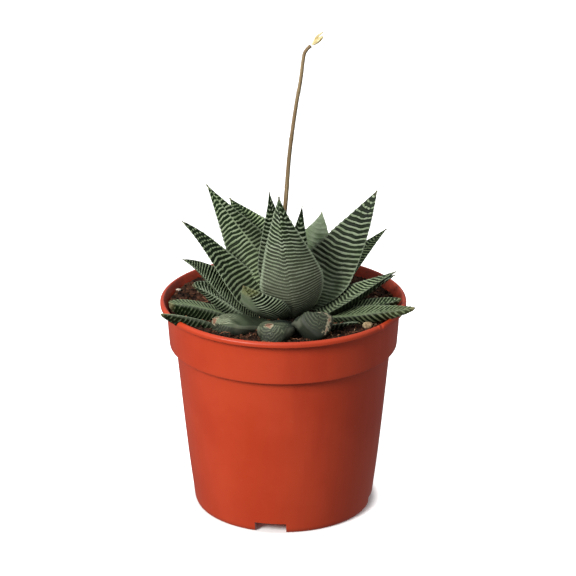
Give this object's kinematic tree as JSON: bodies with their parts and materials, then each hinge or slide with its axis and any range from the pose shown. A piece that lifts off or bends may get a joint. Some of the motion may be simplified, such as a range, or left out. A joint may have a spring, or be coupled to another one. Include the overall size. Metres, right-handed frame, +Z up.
{
  "type": "potted haworthia",
  "caption": "Rosette succulent with thick, pointed leaves in raised white cross ridges and a dry flower stalk, growing in a round plastic nursery pot.",
  "frame": {"origin": "middle of the pot's base, on the surface it stands on", "axes": "+Z up along the pot's axis and the stalk, -Y towards the plant's front, +X to its right seen from the front"},
  "size_m": [0.1073, 0.1048, 0.208],
  "materials": {
    "pot": "terracotta-coloured moulded polypropylene with a soft sheen",
    "soil": "loose reddish-brown peat with fibres and crumbs, dull",
    "leaf": "dark green skin with raised grey-white ridges, satin",
    "cut_leaf": "grey-green leaf base with a dried, brown cut end",
    "crown": "pale green fibrous stem",
    "stalk": "dry, straw-brown, finely streaked",
    "dry_flower": "papery, straw-coloured",
    "pebble": "matt tan",
    "white_chip": "chalky white"
  },
  "bodies": {
    "root": {"crown": "crown", "dry_flower": "dry_flower", "flower_stalk": "stalk", "leaf_back_inner": "leaf", "leaf_back_left": "leaf", "leaf_back_low": "leaf", "leaf_back_lying": "leaf", "leaf_back_middle": "leaf", "leaf_back_right": "leaf", "leaf_front_curled": "leaf", "leaf_front_right_small": "leaf", "leaf_front_tall": "leaf", "leaf_heart_left": "leaf", "leaf_heart_right": "leaf", "leaf_inner_back": "leaf", "leaf_inner_left": "leaf", "leaf_inner_right": "leaf", "leaf_left_back": "leaf", "leaf_left_low": "leaf", "leaf_left_lying": "leaf", "leaf_left_mid": "leaf", "leaf_left_over_rim": "leaf", "leaf_left_tall": "leaf", "leaf_left_wide": "leaf", "leaf_right_behind": "leaf", "leaf_right_low": "leaf", "leaf_right_lying": "leaf", "leaf_right_mid": "leaf", "leaf_right_over_rim": "leaf", "leaf_right_tall": "leaf", "pebble": "pebble", "pot": "pot", "pot_floor": "pot", "soil": "soil", "stub_left": "cut_leaf", "stub_middle": "cut_leaf", "stub_right": "cut_leaf", "white_chip": "white_chip"}
  },
  "joints": []
}
